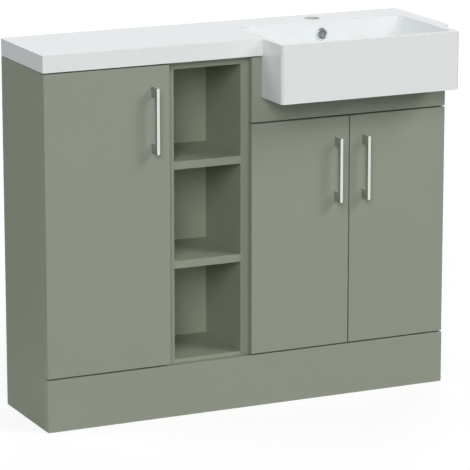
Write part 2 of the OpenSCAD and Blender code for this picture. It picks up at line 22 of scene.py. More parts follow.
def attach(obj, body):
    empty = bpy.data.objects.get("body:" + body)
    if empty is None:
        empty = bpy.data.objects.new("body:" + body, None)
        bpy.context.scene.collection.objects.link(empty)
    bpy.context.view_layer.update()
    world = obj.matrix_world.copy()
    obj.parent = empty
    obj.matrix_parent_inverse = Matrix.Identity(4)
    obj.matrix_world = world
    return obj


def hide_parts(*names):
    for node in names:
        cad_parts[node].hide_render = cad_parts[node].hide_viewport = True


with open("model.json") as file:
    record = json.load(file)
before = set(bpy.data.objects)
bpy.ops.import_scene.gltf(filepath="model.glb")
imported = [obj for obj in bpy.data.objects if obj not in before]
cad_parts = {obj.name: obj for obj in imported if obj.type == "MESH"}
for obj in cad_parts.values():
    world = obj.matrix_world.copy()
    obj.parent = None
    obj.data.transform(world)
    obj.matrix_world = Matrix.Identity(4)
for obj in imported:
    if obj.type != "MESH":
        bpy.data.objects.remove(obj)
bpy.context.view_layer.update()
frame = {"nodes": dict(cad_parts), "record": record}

log = logging.getLogger("unit")

Colour = tuple[float, float, float, float]
Point = tuple[float, float, float]
Tree = bpy.types.NodeTree
Socket = bpy.types.NodeSocket
Mesh = bmesh.types.BMesh
Face = bmesh.types.BMFace
Edge = bmesh.types.BMEdge
Vert = bmesh.types.BMVert

MM = 0.001
FRONT_Y = -0.056  # front edges of the carcass boards
DOOR_BACK_Y = -0.058  # back faces of the closed doors
CROWN_Z = 0.8169  # just below the boards' upper ends
OUTER_X = 0.4999  # just inside the outer faces of the end boards
WHITE: Colour = (1.0, 1.0, 1.0, 1.0)
COOL: Colour = (0.92, 1.0, 1.04, 1.0)


def tone(red: int, green: int, blue: int) -> Colour:
    """Turns a screen colour into the linear colour that a shader takes.

    Args:
        red: Red from 0 to 255.
        green: Green from 0 to 255.
        blue: Blue from 0 to 255.

    Returns:
        The linear colour with an alpha of 1.
    """
    parts = [value / 255 for value in (red, green, blue)]
    linear = [p / 12.92 if p <= 0.04045 else ((p + 0.055) / 1.055) ** 2.4 for p in parts]
    return (linear[0], linear[1], linear[2], 1.0)


class Mark(Enum):
    """Face-corner attributes that the meshes carry and the finishes read."""

    EDGE = "rounded_edge"
    CUT = "cut_edge"
    BAND = "edge_band"


class Facing(Enum):
    """Directions that a small round piece can face, as the turns that bring +Z there."""

    WALL = (-90.0, 0.0)
    FRONT = (90.0, 0.0)
    RIGHT = (0.0, 90.0)
    LEFT = (0.0, -90.0)

    def turn(self) -> Matrix:
        """Returns the matrix that turns a piece drawn along +Z to this direction."""
        about_x, about_y = (math.radians(angle) for angle in self.value)
        return Matrix.Rotation(about_x, 4, "X") @ Matrix.Rotation(about_y, 4, "Y")


# ---- Node groups shared by the finishes ------------------------------------------------------


class Wiring:
    """Adds nodes to one tree and joins them."""

    def __init__(self, tree: Tree) -> None:
        """Keeps the tree to work in."""
        self.tree = tree

    def feed(self, socket: Socket, value: object) -> None:
        """Links an input to a socket, or sets it to a value.

        Args:
            socket: The input.
            value: Output socket, number or colour.
        """
        if isinstance(value, Socket):
            self.tree.links.new(value, socket)
        else:
            socket.default_value = value

    def add(self, kind: str, feeds: dict[object, object] | None = None, **settings: object) -> bpy.types.Node:
        """Adds one shader node.

        Args:
            kind: Blender's name for the node's type, without its first word.
            feeds: Value or output socket for each named or numbered input.
            **settings: Properties of the node.

        Returns:
            The new node.
        """
        node = self.tree.nodes.new(f"ShaderNode{kind}")
        for key, value in settings.items():
            setattr(node, key, value)
        for key, value in (feeds or {}).items():
            self.feed(node.inputs[key], value)
        return node

    def math(self, operation: str, *values: object) -> Socket:
        """Returns what an operation makes of numbers or sockets."""
        return self.add("Math", dict(enumerate(values)), operation=operation).outputs[0]

    def spread(self, value: Socket, low: float, high: float, to_low: object = 0.0, to_high: object = 1.0) -> Socket:
        """Returns a value moved from one range to another, held at the ends."""
        feeds = {"Value": value, "From Min": low, "From Max": high, "To Min": to_low, "To Max": to_high}
        return self.add("MapRange", feeds).outputs["Result"]

    def blend(self, factor: object, first: object, second: object) -> Socket:
        """Returns a mix of two colours, the factor being the share of the second."""
        return self.add("Mix", {0: factor, 6: first, 7: second}, data_type="RGBA").outputs[2]

    def scaled(self, colour: object, factor: object) -> Socket:
        """Returns a colour that a factor makes lighter or darker."""
        return self.add("VectorMath", {0: colour, 3: factor}, operation="SCALE").outputs[0]

    def stretched(self, vector: Socket, factors: object) -> Socket:
        """Returns coordinates stretched along X, Y and Z."""
        return self.add("VectorMath", {0: vector, 1: factors}, operation="MULTIPLY").outputs[0]

    def noise(self, vector: Socket, scale: object, detail: float) -> Socket:
        """Returns noise of some features per metre, with a number of finer layers."""
        return self.add("TexNoise", {"Vector": vector, "Scale": scale, "Detail": detail}).outputs[0]

    def cells(self, vector: Socket, scale: float, **settings: object) -> bpy.types.NodeOutputs:
        """Returns the outputs of a pattern of cells."""
        return self.add("TexVoronoi", {"Vector": vector, "Scale": scale}, **settings).outputs

    def part(self, vector: Socket, axis: int) -> Socket:
        """Returns a vector's X, Y or Z, for an axis of 0, 1 or 2."""
        return self.add("SeparateXYZ", {0: vector}).outputs[axis]

    def facing(self, axis: int) -> Socket:
        """Returns one part of the surface's direction, from -1 to 1."""
        return self.part(self.add("TexCoord").outputs["Normal"], axis)

    def mark(self, mark: Mark) -> Socket:
        """Returns one of the meshes' face-corner attributes."""
        return self.add("Attribute", attribute_type="GEOMETRY", attribute_name=mark.value).outputs["Fac"]

    def white_rays(self) -> tuple[Socket, Socket]:
        """Tells which rays see the white room itself instead of its light.

        Returns:
            A mask of the camera's, mirrored and transmitted rays, and one of the mirrored rays alone.
        """
        path = self.add("LightPath").outputs
        seen = self.math("MAXIMUM", path["Is Camera Ray"], path["Is Glossy Ray"])
        return self.math("MAXIMUM", seen, path["Is Transmission Ray"]), path["Is Glossy Ray"]


class Effects:
    """Node groups for effects that several finishes share, each built when it is first asked for."""

    kinds: dict[str, str] = {"Vector": "Vector", "Stretch": "Vector", "Color": "Color", "Worn Color": "Color"}

    def _open(
        self, name: str, takes: Sequence[str], gives: Sequence[str]
    ) -> tuple[Wiring, bpy.types.NodeOutputs, bpy.types.NodeInputs]:
        """Starts a group that reads coordinates.

        Args:
            name: The group's name.
            takes: Names of its inputs besides the coordinates.
            gives: Names of its outputs.

        Returns:
            The group's wiring, its input sockets and its output sockets.
        """
        tree = bpy.data.node_groups.new(name, "ShaderNodeTree")
        for way, labels in (("INPUT", ("Vector", *takes)), ("OUTPUT", gives)):
            for label in labels:
                kind = self.kinds.get(label, "Float")
                tree.interface.new_socket(name=label, in_out=way, socket_type=f"NodeSocket{kind}")
        given = tree.nodes.new("NodeGroupInput").outputs
        return Wiring(tree), given, tree.nodes.new("NodeGroupOutput").inputs

    @cached_property
    def cloud(self) -> Tree:
        """Builds slow, broad changes of tone.

        Returns:
            The group.
        """
        w, given, out = self._open("broad cloud", ("Color", "Scale", "Amount"), ("Color",))
        broad = w.noise(given["Vector"], given["Scale"], 3.0)
        fine = w.noise(given["Vector"], w.math("MULTIPLY", given["Scale"], 9.0), 2.0)
        both = w.math("MULTIPLY_ADD", fine, 0.3, w.math("MULTIPLY", broad, 0.7))
        swing = w.math("MULTIPLY", w.math("SUBTRACT", both, 0.5), given["Amount"])
        w.feed(out["Color"], w.scaled(given["Color"], w.math("MULTIPLY_ADD", swing, 2.0, 1.0)))
        return w.tree

    @cached_property
    def peel(self) -> Tree:
        """Builds the fine waves that a sprayed or pressed skin dries with.

        Returns:
            The group.
        """
        w, given, out = self._open("skin waves", ("Scale", "Grit"), ("Height", "Patch"))
        waves = w.noise(given["Vector"], given["Scale"], 1.0)
        grit = w.noise(given["Vector"], w.math("MULTIPLY", given["Scale"], 7.0), 1.0)
        w.feed(out["Height"], w.math("MULTIPLY_ADD", grit, given["Grit"], waves))
        w.feed(out["Patch"], w.noise(given["Vector"], 9.0, 3.0))
        return w.tree

    @cached_property
    def rubbed_and_highlit(self) -> Tree:
        """Builds a paler, broken line along rounded edges, which paints the highlight that the edges catch and is
        broken up like light wear.

        Returns:
            The group.
        """
        w, given, out = self._open("rubbed edge", ("Color", "Worn Color", "Amount"), ("Color",))
        # The paler line is a painted highlight along the rounded edges, broken up like light wear.
        broken = w.spread(w.noise(given["Vector"], 70.0, 4.0), 0.42, 0.66, 0.25, 1.0)
        mask = w.math("MULTIPLY", w.math("MULTIPLY", w.mark(Mark.EDGE), broken), given["Amount"])
        w.feed(out["Color"], w.blend(mask, given["Color"], given["Worn Color"]))
        return w.tree

    @cached_property
    def chips(self) -> Tree:
        """Builds the pressed flakes of a board's cut edge.

        Returns:
            The group.
        """
        w, given, out = self._open("pressed flakes", (), ("Color", "Height"))
        large = w.cells(w.stretched(given["Vector"], (1.0, 1.0, 0.55)), 330.0)
        small = w.cells(given["Vector"], 900.0)
        pick = w.add("SeparateColor", {0: large["Color"]}).outputs[0]
        tan = w.blend(pick, tone(148, 118, 80), tone(205, 176, 132))
        w.feed(out["Color"], w.scaled(tan, w.spread(small["Distance"], 0.0, 0.45, 0.55, 1.0)))
        w.feed(out["Height"], w.math("ADD", large["Distance"], small["Distance"]))
        return w.tree

    @cached_property
    def scratches(self) -> Tree:
        """Builds hair-fine lines along one direction.

        Returns:
            The group.
        """
        w, given, out = self._open("hair lines", ("Stretch",), ("Height", "Mask"))
        lines = w.noise(w.stretched(given["Vector"], given["Stretch"]), 1.0, 3.0)
        w.feed(out["Height"], lines)
        w.feed(out["Mask"], w.spread(lines, 0.56, 0.72))
        return w.tree

    @cached_property
    def smudges(self) -> Tree:
        """Builds the dull patches that wiping and fingers leave on gloss.

        Returns:
            The group.
        """
        w, given, out = self._open("wiped smudges", ("Low", "High"), ("Roughness",))
        patch = w.noise(given["Vector"], 14.0, 4.0)
        wiped = w.noise(w.stretched(given["Vector"], (1.0, 4.0, 1.0)), 45.0, 2.0)
        both = w.math("MULTIPLY_ADD", wiped, 0.4, w.math("MULTIPLY", patch, 0.6))
        w.feed(out["Roughness"], w.spread(both, 0.38, 0.68, given["Low"], given["High"]))
        return w.tree

    @cached_property
    def dust_and_highlight(self) -> Tree:
        """Builds a thin film of dust on what faces up.

        Returns:
            The group.
        """
        w, given, out = self._open("settled dust", ("Color", "Amount"), ("Color",))
        patch = w.spread(w.noise(given["Vector"], 26.0, 4.0), 0.35, 0.75, 0.3, 1.0)
        mask = w.math("MULTIPLY", w.math("MULTIPLY", w.spread(w.facing(2), 0.6, 1.0), patch), given["Amount"])
        w.feed(out["Color"], w.blend(mask, given["Color"], tone(190, 188, 180)))
        return w.tree


effects = Effects()


# ---- Finishes ---------------------------------------------------------------------------------


class Surface(Wiring):
    """A material with its shader and the object's own coordinates ready to wire."""

    def __init__(self, name: str) -> None:
        """Opens a new material.

        Args:
            name: The material's name.
        """
        self.material = bpy.data.materials.new(name)
        self.material.use_nodes = True
        super().__init__(self.material.node_tree)
        self.place = self.add("TexCoord").outputs["Object"]

    def group(self, tree: Tree, **feeds: object) -> bpy.types.NodeOutputs:
        """Returns the outputs of a shared group, fed by name with _ for a space."""
        named = {key.replace("_", " "): value for key, value in feeds.items()}
        return self.add("Group", {"Vector": self.place, **named}, node_tree=tree).outputs

    def clouded(self, colour: object, scale: float, amount: float) -> Socket:
        """Returns a colour with slow, broad changes of tone."""
        return self.group(effects.cloud, Color=colour, Scale=scale, Amount=amount)["Color"]

    def patchy(self, patch: Socket, low: float, high: float) -> Socket:
        """Returns a roughness that drifts between two values."""
        return self.spread(patch, 0.3, 0.7, low, high)

    def bump(self, height: Socket, depth: float, strength: float, **under: Socket) -> Socket:
        """Returns the normal of a relief, whose depth is what a height of 1 means, over Normal if given."""
        return self.add("Bump", {"Height": height, "Distance": depth, "Strength": strength, **under}).outputs["Normal"]

    def close(self, sockets: dict[str, object]) -> bpy.types.Material:
        """Sets or links the shader's sockets.

        Args:
            sockets: Value or socket for each of the shader's inputs.

        Returns:
            The finished material.
        """
        for key, value in sockets.items():
            self.feed(self.tree.nodes["Principled BSDF"].inputs[key], value)
        return self.material


@dataclass(frozen=True)
class SatinLacquer:
    """Sprayed satin lacquer on fibreboard, as on the doors."""

    name: str = "satin_sage_lacquer"
    body: Colour = tone(158, 165, 150)
    # Paler colour of the rounded edges: a painted edge highlight, broken up like light wear.
    worn_and_highlit: Colour = tone(180, 185, 171)

    def material(self) -> bpy.types.Material:
        """Builds the material.

        Returns:
            The material.
        """
        s = Surface(self.name)
        body = s.clouded(self.body, scale=2.2, amount=0.035)
        waves = s.group(effects.peel, Scale=420.0, Grit=0.35)
        return s.close({
            # The paler rounded edges paint their highlight, broken up like light wear.
            "Base Color": s.group(effects.rubbed_and_highlit, Color=body, Worn_Color=self.worn_and_highlit, Amount=0.35)["Color"],
            "Roughness": s.patchy(waves["Patch"], 0.35, 0.46),
            "Normal": s.bump(waves["Height"], depth=0.04 * MM, strength=0.35),
            "Specular IOR Level": 0.10,
            "IOR": 1.47,
            "Coat Weight": 0.04,
            "Coat Roughness": 0.28,
        })


@dataclass(frozen=True)
class Laminate:
    """Matt laminate on chipboard: pressed faces, banded front edges and raw cut edges."""

    name: str = "matt_sage_laminate"
    face: Colour = tone(157, 164, 145)
    band: Colour = tone(157, 164, 147)
    # Paler colour of the rounded edges: a painted edge highlight, broken up like light wear.
    worn_and_highlit: Colour = tone(172, 177, 162)
    flake_relief: float = 6.0  # against the fine pebbling of the faces
    cut_dulling: float = 0.35

    def material(self) -> bpy.types.Material:
        """Builds the material.

        Returns:
            The material.
        """
        s = Surface(self.name)
        banded = s.blend(s.mark(Mark.BAND), s.clouded(self.face, scale=3.4, amount=0.05), self.band)
        # The paler rounded edges paint their highlight, broken up like light wear.
        rubbed_and_highlit = s.group(effects.rubbed_and_highlit, Color=banded, Worn_Color=self.worn_and_highlit, Amount=0.3)["Color"]
        dust_and_highlight_mix = s.group(effects.dust_and_highlight, Color=rubbed_and_highlit, Amount=0.05)["Color"]
        flakes = s.group(effects.chips)
        cut = s.mark(Mark.CUT)
        pebbles = s.cells(s.place, 1300.0, feature="SMOOTH_F1")["Distance"]
        waves = s.group(effects.peel, Scale=260.0, Grit=0.5)
        relief = s.math("MULTIPLY_ADD", flakes["Height"], s.math("MULTIPLY", cut, self.flake_relief), pebbles)
        return s.close({
            "Base Color": s.blend(cut, dust_and_highlight_mix, flakes["Color"]),
            "Roughness": s.math("MULTIPLY_ADD", cut, self.cut_dulling, s.patchy(waves["Patch"], 0.47, 0.58)),
            "Normal": s.bump(relief, depth=0.05 * MM, strength=0.4),
            "Specular IOR Level": 0.10,
            "IOR": 1.46,
        })


@dataclass(frozen=True)
class ThinPanel:
    """Back panel: laminated towards the room and bare fibreboard towards the wall."""

    name: str = "sage_thin_panel"
    face: Colour = tone(161, 168, 150)
    bare: Colour = tone(146, 112, 78)
    fibre: Point = (900.0, 900.0, 260.0)

    def material(self) -> bpy.types.Material:
        """Builds the material.

        Returns:
            The material.
        """
        s = Surface(self.name)
        fibres = s.noise(s.stretched(s.place, self.fibre), 1.0, 4.0)
        felted = s.scaled(s.clouded(self.bare, scale=11.0, amount=0.12), s.spread(fibres, 0.3, 0.7, 0.82, 1.14))
        to_wall = s.spread(s.facing(1), 0.4, 0.6)
        waves = s.group(effects.peel, Scale=300.0, Grit=0.5)
        relief = s.math("MULTIPLY_ADD", fibres, to_wall, waves["Height"])
        return s.close({
            "Base Color": s.blend(to_wall, s.clouded(self.face, scale=3.0, amount=0.05), felted),
            "Roughness": s.spread(to_wall, 0.0, 1.0, 0.54, 0.88),
            "Normal": s.bump(relief, depth=0.06 * MM, strength=0.4),
            "IOR": 1.46,
        })


@dataclass(frozen=True)
class CastGelcoat:
    """Gloss white gelcoat over a mineral casting that is raw underneath and where it was drilled, the drilled walls
    darkened as painted shade inside the holes.
    """

    name: str = "cast_white_gelcoat"
    gloss: Colour = tone(248, 250, 250)
    under: Colour = tone(214, 211, 203)
    # Tone of the drilled hole walls: raw casting, darkened as painted shade inside the holes.
    drilled: Colour = tone(208, 209, 207)
    raw_dulling: float = 0.5

    def material(self) -> bpy.types.Material:
        """Builds the material.

        Returns:
            The material.
        """
        s = Surface(self.name)
        grain = s.cells(s.place, 620.0)["Distance"]
        raw = s.clouded(self.under, scale=30.0, amount=0.10)
        speckled = s.scaled(raw, s.spread(grain, 0.0, 0.5, 0.86, 1.03))
        # The hole walls' darker tone paints the shade inside the tap and waste holes over the raw casting.
        raw_and_shaded_wall = s.scaled(self.drilled[:3], s.spread(grain, 0.0, 0.5, 0.7, 1.1))
        below = s.spread(s.facing(2), -0.9, -0.6, 1.0, 0.0)
        cut = s.mark(Mark.CUT)
        raw_part = s.math("MAXIMUM", below, cut)
        skin = s.blend(below, s.clouded(self.gloss, scale=2.6, amount=0.010), speckled)
        smudged = s.group(effects.smudges, Low=0.10, High=0.17)["Roughness"]
        waves = s.bump(s.group(effects.peel, Scale=38.0, Grit=0.02)["Height"], depth=0.12 * MM, strength=0.16)
        pits = s.math("MULTIPLY", grain, raw_part)
        return s.close({
            "Base Color": s.blend(cut, skin, raw_and_shaded_wall),
            "Roughness": s.math("MULTIPLY_ADD", raw_part, self.raw_dulling, smudged),
            "Normal": s.bump(pits, depth=0.3 * MM, strength=0.5, Normal=waves),
            "IOR": 1.5,
        })


@dataclass(frozen=True)
class PlatedMetal:
    """Plated metal, from mirror chrome to brushed nickel and dull zinc.

    Low and high bound its roughness. A darker colour on the faces that don't face the front paints shade on the sides,
    and a pale matt film on what faces up paints a highlight on the tops.
    """

    name: str
    colour: Colour
    low: float
    high: float
    stretch: Point
    line_depth: float
    tarnish: float
    # Darker colour for the faces that don't face the front: painted shade on the sides.
    shaded_flank: Colour | None = None
    # Share of a pale matt film on what faces up, which paints a highlight on the tops.
    film: float = 0.0
    # Colour of that film, the painted highlight on the tops.
    dust_and_highlight: Colour = tone(236, 237, 232)
    line_dulling: float = 0.05

    def material(self) -> bpy.types.Material:
        """Builds the material.

        Returns:
            The material.
        """
        s = Surface(self.name)
        plated: object = self.colour
        # Only what faces the front gets the full plated colour; the sides get the darker one as painted shade.
        if self.shaded_flank is not None:
            plated = s.blend(s.spread(s.facing(1), -0.9, -0.5, 1.0, 0.0), self.shaded_flank, self.colour)
        smudged = s.group(effects.smudges, Low=self.low, High=self.high)["Roughness"]
        lines = s.group(effects.scratches, Stretch=self.stretch)
        # The pale matt film on what faces up is a painted highlight on the tops.
        dust_and_highlight_mix = s.math("MULTIPLY", s.spread(s.facing(2), 0.6, 1.0), self.film)
        return s.close({
            "Base Color": s.blend(dust_and_highlight_mix, s.clouded(plated, scale=18.0, amount=self.tarnish), self.dust_and_highlight),
            "Metallic": s.math("SUBTRACT", 1.0, dust_and_highlight_mix),
            "Roughness": s.math("MULTIPLY_ADD", lines["Mask"], self.line_dulling, smudged),
            "Normal": s.bump(lines["Height"], depth=self.line_depth, strength=0.3),
        })


@dataclass(frozen=True)
class SoftPad:
    """Soft, slightly cloudy plastic of bumpers and spacers."""

    name: str = "cloudy_soft_pad"
    colour: Colour = tone(214, 217, 214)

    def material(self) -> bpy.types.Material:
        """Builds the material.

        Returns:
            The material.
        """
        s = Surface(self.name)
        waves = s.group(effects.peel, Scale=900.0, Grit=0.3)
        return s.close({
            "Base Color": s.clouded(self.colour, scale=240.0, amount=0.08),
            "Roughness": s.patchy(waves["Patch"], 0.30, 0.42),
            "Normal": s.bump(waves["Height"], depth=0.03 * MM, strength=0.4),
            "Subsurface Weight": 0.35,
            "Subsurface Radius": (2.0 * MM, 2.0 * MM, 2.0 * MM),
            "IOR": 1.45,
        })


@dataclass(frozen=True)
class Sealant:
    """White sanitary sealant with the marks of the finger that smoothed it."""

    name: str = "white_sealant"
    colour: Colour = tone(232, 232, 228)
    drawn: Point = (500.0, 60.0, 500.0)

    def material(self) -> bpy.types.Material:
        """Builds the material.

        Returns:
            The material.
        """
        s = Surface(self.name)
        drawn = s.noise(s.stretched(s.place, self.drawn), 1.0, 2.0)
        return s.close({
            "Base Color": s.clouded(self.colour, scale=40.0, amount=0.03),
            "Roughness": s.patchy(drawn, 0.3, 0.42),
            "Normal": s.bump(drawn, depth=0.2 * MM, strength=0.4),
        })


@dataclass(frozen=True)
class PlanedSoftwood:
    """Planed softwood with rings that run along the block."""

    name: str = "planed_softwood"
    pale: Colour = tone(214, 184, 138)
    late: Colour = tone(176, 132, 84)
    wander: Point = (20.0, 20.0, 4.0)
    wander_depth: float = 16.0
    rings: float = 1500.0  # radians of the rings in a metre across the block
    grain: Point = (1500.0, 1500.0, 60.0)

    def material(self) -> bpy.types.Material:
        """Builds the material.

        Returns:
            The material.
        """
        s = Surface(self.name)
        bent = s.noise(s.stretched(s.place, self.wander), 1.0, 2.0)
        across = s.math("MULTIPLY", s.part(s.place, 0), self.rings)
        rings = s.math("SINE", s.math("MULTIPLY_ADD", bent, self.wander_depth, across))
        grain = s.noise(s.stretched(s.place, self.grain), 1.0, 3.0)
        mixed = s.blend(s.spread(rings, -0.2, 1.0), self.pale, self.late)
        return s.close({
            "Base Color": s.scaled(mixed, s.spread(grain, 0.3, 0.7, 0.86, 1.1)),
            "Roughness": s.patchy(grain, 0.6, 0.78),
            "Normal": s.bump(grain, depth=0.1 * MM, strength=0.5),
        })


@dataclass(frozen=True)
class StudioFloor:
    """Pale floor that reads as white to the camera and keeps the object's shadow.

    Its mirrored image gets darker from rear_near to rear_far behind the object, as the floor of a room does.
    """

    name: str = "studio_floor"
    colour: Colour = (0.30, 0.30, 0.297, 1.0)
    lift: float = 0.80
    rear_near: float = 0.3
    rear_far: float = 1.0
    rear_depth: float = 0.90

    def material(self) -> bpy.types.Material:
        """Builds the material.

        Returns:
            The material.
        """
        s = Surface(self.name)
        seen, mirrored = s.white_rays()
        rear = s.spread(s.part(s.place, 1), self.rear_near, self.rear_far, 0.0, self.rear_depth)
        shown = s.math("SUBTRACT", seen, s.math("MULTIPLY", rear, mirrored))
        matt = s.add("BsdfDiffuse", {"Color": self.colour}).outputs[0]
        glow = s.add("Emission", {"Strength": s.math("MULTIPLY", shown, self.lift)}).outputs[0]
        s.feed(s.tree.nodes["Material Output"].inputs["Surface"], s.add("AddShader", {0: matt, 1: glow}).outputs[0])
        return s.material


class Wardrobe:
    """The record's material slots and the finish that each one has."""

    def __init__(self) -> None:
        """Builds every finish once."""
        finishes = {
            "sage_front": SatinLacquer(),
            "sage_board": Laminate(),
            "sage_back": ThinPanel(),
            "cast_white": CastGelcoat(),
            # The satin chrome's darker sides are painted shade, and its pale matt tops a painted highlight.
            "chrome": PlatedMetal(
                "satin_chrome", tone(222, 226, 221), low=0.10, high=0.18, stretch=(90.0, 90.0, 2400.0),
                line_depth=0.01 * MM, tarnish=0.012, shaded_flank=tone(198, 198, 197), film=0.6,
            ),
            "nickel": PlatedMetal(
                "brushed_nickel", tone(196, 195, 188), low=0.22, high=0.34, stretch=(2600.0, 160.0, 160.0),
                line_depth=0.03 * MM, tarnish=0.06,
            ),
            "zinc_screw": PlatedMetal(
                "dull_zinc", tone(172, 173, 172), low=0.30, high=0.46, stretch=(1400.0, 1400.0, 300.0),
                line_depth=0.03 * MM, tarnish=0.10,
            ),
            "clear_pad": SoftPad(),
            "silicone": Sealant(),
            "raw_block": PlanedSoftwood(),
        }
        self.by_slot = {slot: finish.material() for slot, finish in finishes.items()}
        self.mirror = PlatedMetal(
            "mirror_chrome", tone(232, 236, 238), low=0.02, high=0.05, stretch=(300.0, 300.0, 300.0),
            line_depth=0.001 * MM, tarnish=0.010,
        ).material()
        self.floor = StudioFloor().material()


# ---- Mesh work that the sub-assemblies share --------------------------------------------------


def merged_copy(node: str) -> Mesh:
    """Copies a CAD node's mesh and joins its loose triangles into clean faces.

    Args:
        node: The CAD node's name.

    Returns:
        A mesh of its own.
    """
    bm = bmesh.new()
    bm.from_mesh(frame["nodes"][node].data)
    bmesh.ops.remove_doubles(bm, verts=bm.verts, dist=0.002 * MM)
    bmesh.ops.dissolve_limit(bm, angle_limit=math.radians(0.5), verts=bm.verts, edges=bm.edges)
    return bm


def stored(bm: Mesh, name: str) -> bpy.types.Mesh:
    """Turns a mesh into a mesh datablock.

    Args:
        bm: The mesh, which is used up.
        name: The datablock's name.

    Returns:
        The datablock.
    """
    mesh = bpy.data.meshes.new(name)
    bm.to_mesh(mesh)
    bm.free()
    return mesh


def add_object(name: str, data: bpy.types.ID) -> bpy.types.Object:
    """Adds an object to the scene.

    Args:
        name: Its name.
        data: Its mesh, lamp or camera.

    Returns:
        The object.
    """
    thing = bpy.data.objects.new(name, data)
    bpy.context.scene.collection.objects.link(thing)
    return thing


def set_mark(bm: Mesh, mark: Mark, faces: Iterable[Face]) -> None:
    """Writes 1 into a face-corner attribute on some faces, and makes the attribute where there is none.

    Args:
        bm: The mesh.
        mark: The attribute.
        faces: The faces to mark.
    """
    layer = bm.loops.layers.float.get(mark.value) or bm.loops.layers.float.new(mark.value)
    for face in faces:
        for loop in face.loops:
            loop[layer] = 1.0


def bevelled(bm: Mesh, edges: Sequence[Edge], width: float, segments: int) -> list[Face]:
    """Bevels edges.

    Args:
        bm: The mesh.
        edges: The edges.
        width: Width of the bevel.
        segments: Number of strips across it.

    Returns:
        The new faces.
    """
    return bmesh.ops.bevel(
        bm, geom=edges, offset=width, offset_type="OFFSET", segments=segments,
        profile=0.5, affect="EDGES", clamp_overlap=True, material=-1,
    )["faces"]


def round_edges(
    bm: Mesh, width: float, segments: int, keep: Callable[[Edge], bool] = lambda edge: True, least: float = 35.0
) -> None:
    """Rounds the sharp edges of a mesh and marks the new faces as rounded edge.

    Args:
        bm: The mesh.
        width: Width of the rounding.
        segments: Number of strips across it.
        keep: Says whether a sharp edge is rounded.
        least: Smallest angle between two faces that counts as sharp, in degrees.
    """
    limit = math.radians(least)
    sharp = [e for e in bm.edges if len(e.link_faces) == 2 and e.calc_face_angle(0.0) > limit and keep(e)]
    set_mark(bm, Mark.EDGE, bevelled(bm, sharp, width, segments))


def chamfer_crown(bm: Mesh, width: float) -> None:
    """Chamfers an end board's upper outer edge, which leaves a dark joint under the top's overhang."""
    crown = [e for e in bm.edges if all(v.co.z > CROWN_Z and abs(v.co.x) > OUTER_X for v in e.verts)]
    bevelled(bm, crown, width, 1)


def shells(bm: Mesh) -> list[list[Face]]:
    """Finds the separate solids in a mesh.

    Args:
        bm: The mesh.

    Returns:
        The faces of each solid.
    """
    left, found = set(bm.faces), []
    while left:
        group, edge = [], [left.pop()]
        while edge:
            face = edge.pop()
            group.append(face)
            near = {f for e in face.edges for f in e.link_faces if f in left}
            left -= near
            edge.extend(near)
        found.append(group)
    return found


def mark_board(bm: Mesh) -> None:
    """Marks each board's banded front edge and its raw cut edges, told apart by its thin direction.

    Both attributes are made before any face is taken in hand.

    Args:
        bm: A mesh of one or more boards.
    """
    set_mark(bm, Mark.CUT, ())
    set_mark(bm, Mark.BAND, ())
    for faces in shells(bm):
        places = [v.co for f in faces for v in f.verts]
        spans = [max(p[i] for p in places) - min(p[i] for p in places) for i in range(3)]
        thin = spans.index(min(spans))
        edges = [f for f in faces if abs(f.normal[thin]) < 0.5]
        set_mark(bm, Mark.BAND, [f for f in edges if f.normal.y < -0.9])
        set_mark(bm, Mark.CUT, [f for f in edges if abs(f.normal.x) < 0.9 and f.normal.y > -0.9])


def lathe(profile: Sequence[tuple[float, float]], steps: int) -> Mesh:
    """Turns a profile about +Z into a closed skin.

    Args:
        profile: Radius and height of each point, from one end to the other.
        steps: Number of faces round the axis.

    Returns:
        The turned mesh.
    """
    bm = bmesh.new()
    points = [bm.verts.new((radius, 0.0, height)) for radius, height in profile]
    lines = [bm.edges.new(pair) for pair in zip(points, points[1:])]
    bmesh.ops.spin(
        bm, geom=points + lines, cent=(0, 0, 0), axis=(0, 0, 1), angle=math.tau, steps=steps, use_merge=True
    )
    bmesh.ops.remove_doubles(bm, verts=bm.verts, dist=0.0001 * MM)
    bmesh.ops.recalc_face_normals(bm, faces=bm.faces)
    return bm


def put(bm: Mesh, piece: Mesh, place: Point, facing: Facing) -> None:
    """Adds a small piece, drawn along +Z at the origin, to a mesh.

    Args:
        bm: The mesh that grows.
        piece: The small piece, which is used up.
        place: Where its origin goes.
        facing: The direction that its +Z goes to.
    """
    bmesh.ops.transform(piece, matrix=Matrix.Translation(place) @ facing.turn(), verts=piece.verts)
    carrier = stored(piece, "carrier")
    bm.from_mesh(carrier)
    bpy.data.meshes.remove(carrier)


